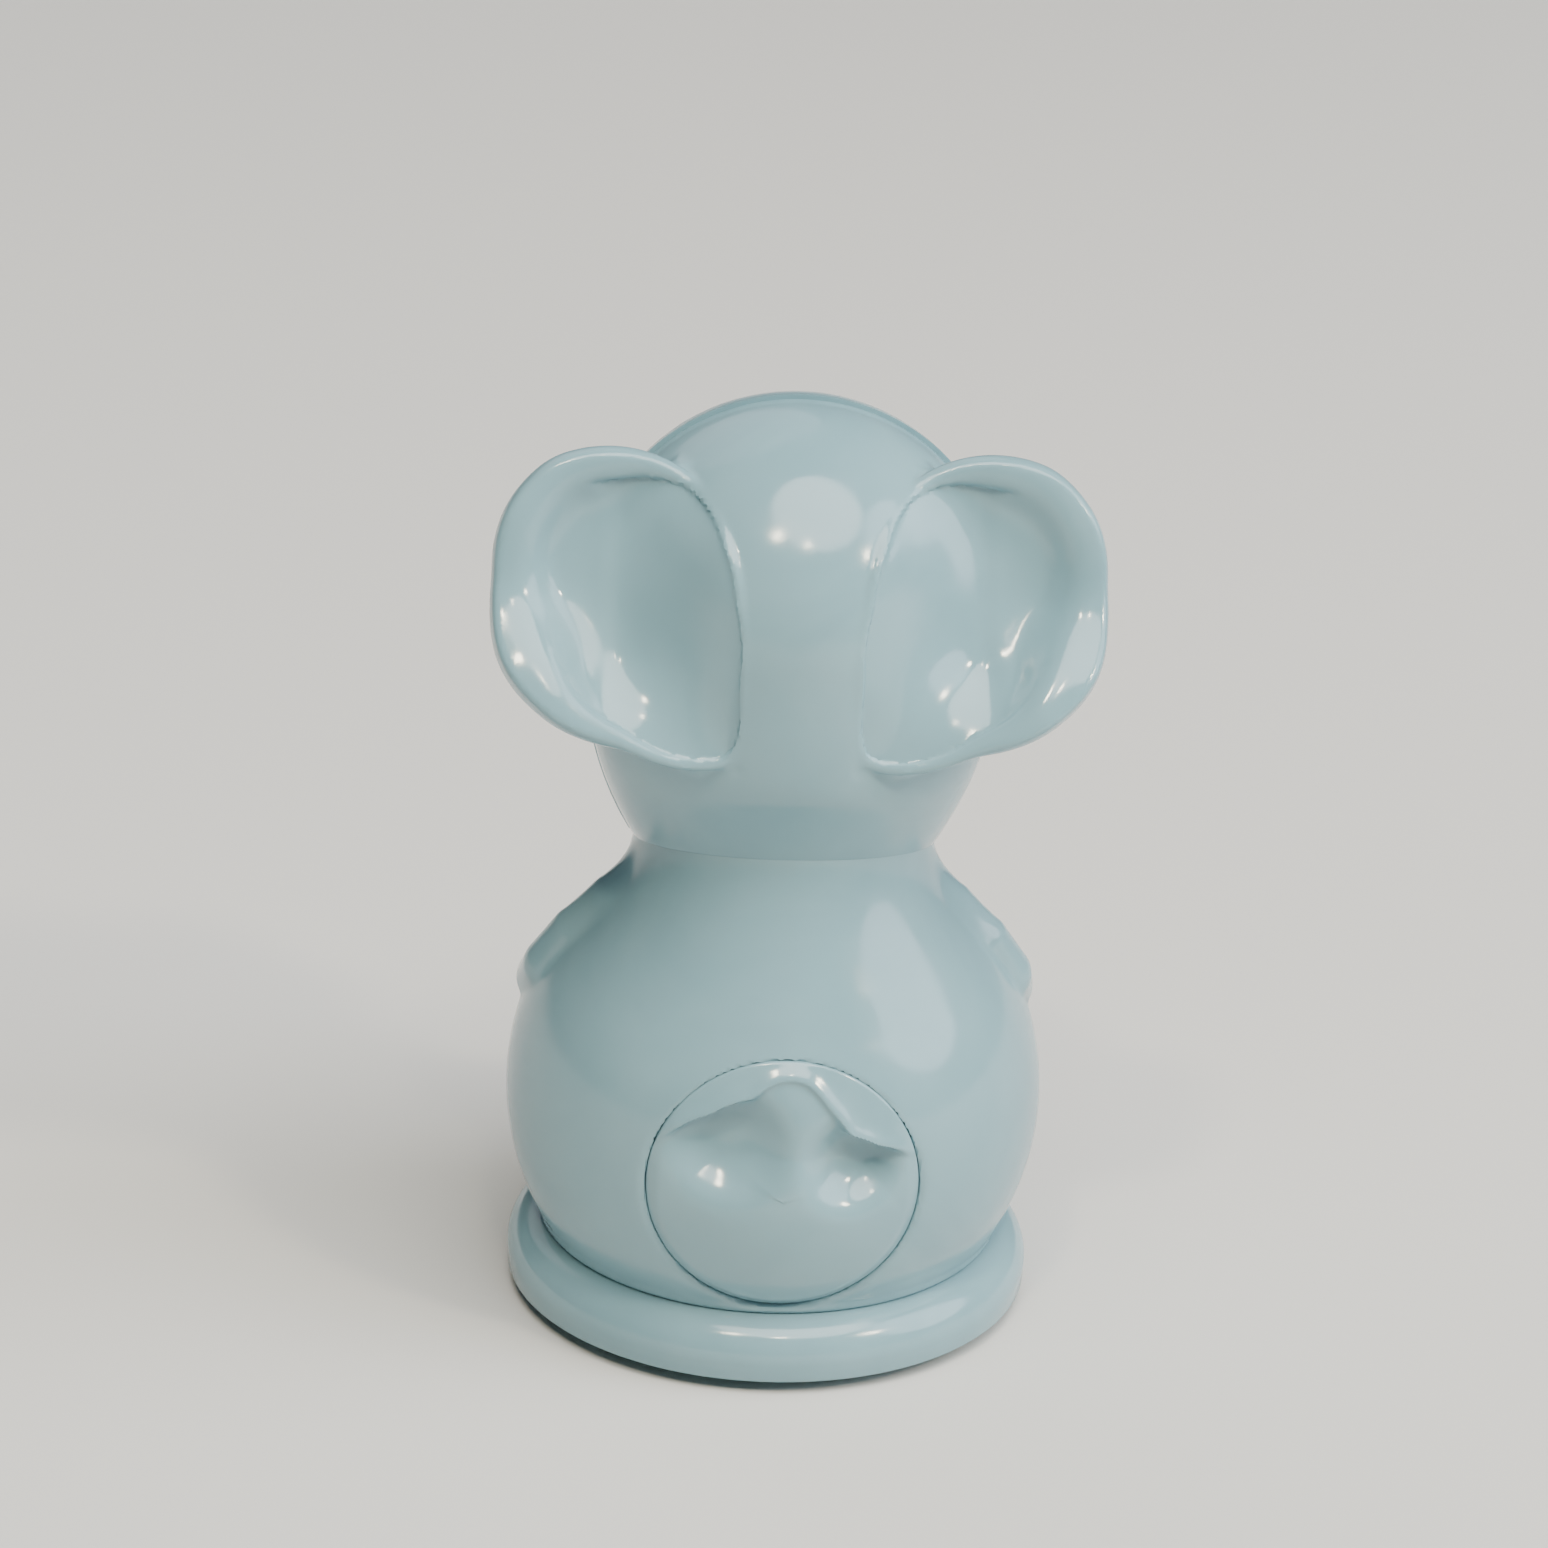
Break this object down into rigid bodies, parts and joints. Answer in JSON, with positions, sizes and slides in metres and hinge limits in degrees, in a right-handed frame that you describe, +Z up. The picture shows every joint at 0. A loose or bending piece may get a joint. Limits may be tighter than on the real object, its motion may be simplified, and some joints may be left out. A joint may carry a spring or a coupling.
{
  "type": "clockwork mouse",
  "caption": "Pale blue moulded plastic wind-up mouse with a round body, large cupped ears, a flush winding knob at the back and a geared drive under a low round plinth.",
  "frame": {"origin": "on the floor, at the middle of the box that the standing toy fills", "axes": "+Z up, the face looks along -Y, left and right are mirror images about X = 0"},
  "size_m": [0.0466, 0.0458, 0.0704],
  "materials": {
    "blue_plastic": "high gloss moulded",
    "base_plastic": "satin moulded",
    "gear_plastic": "natural acetal",
    "steel": "drawn bright",
    "frame_steel": "zinc plated",
    "tyre_rubber": "matt",
    "dark_plastic": "polished"
  },
  "bodies": {
    "casing": {"body_shell_left": "blue_plastic", "body_shell_right": "blue_plastic", "plinth": "blue_plastic", "base_plate": "base_plastic", "head_rear_shell": "blue_plastic", "face_shell": "blue_plastic", "neck_sleeve": "base_plastic", "mainspring": "steel", "frame_plate_left": "frame_steel", "frame_plate_right": "frame_steel", "frame_pillars": "frame_steel", "middle_bridge": "frame_steel", "rear_bridge": "frame_steel", "spring_post": "steel", "roller_pin": "steel", "base_screws": "steel", "motor_screws": "steel", "body_screws": "steel", "nose": "dark_plastic", "eyes": "dark_plastic"},
    "winding": {"winding_knob": "blue_plastic", "winding_arbor": "steel", "crown_wheel": "gear_plastic", "ratchet_wheel": "steel", "click": "steel"},
    "second_shaft": {"second_arbor": "steel", "second_wheel": "gear_plastic"},
    "axle": {"axle_pinion": "gear_plastic", "drive_axle": "steel", "drive_wheel_left": "gear_plastic", "tyre_left": "tyre_rubber", "drive_wheel_right": "gear_plastic", "tyre_right": "tyre_rubber"},
    "fly": {"fly_arbor": "steel", "fly_vanes": "gear_plastic"},
    "roller": {"trailing_roller": "gear_plastic"}
  },
  "joints": [
    {"name": "knob_turn", "type": "hinge", "parent": "casing", "child": "winding", "pos_m": [0, 0.0022, 0.016], "axis": [0, 1, 0], "continuous": true},
    {"name": "second_turn", "type": "hinge", "parent": "casing", "child": "second_shaft", "pos_m": [0, 0.0017, 0.016], "axis": [1, 0, 0], "continuous": true},
    {"name": "axle_turn", "type": "hinge", "parent": "casing", "child": "axle", "pos_m": [0, -0.0006, 0.0055], "axis": [1, 0, 0], "continuous": true},
    {"name": "fly_turn", "type": "hinge", "parent": "casing", "child": "fly", "pos_m": [0, -0.00592, 0.02286], "axis": [1, 0, 0], "continuous": true},
    {"name": "roller_turn", "type": "hinge", "parent": "casing", "child": "roller", "pos_m": [0, 0.0106, 0.003], "axis": [1, 0, 0], "continuous": true}
  ],
  "couplings": [
    {"joint": "second_turn", "follows": "knob_turn", "ratio": -3.5},
    {"joint": "axle_turn", "follows": "knob_turn", "ratio": 11.55},
    {"joint": "fly_turn", "follows": "knob_turn", "ratio": 14.438}
  ]
}
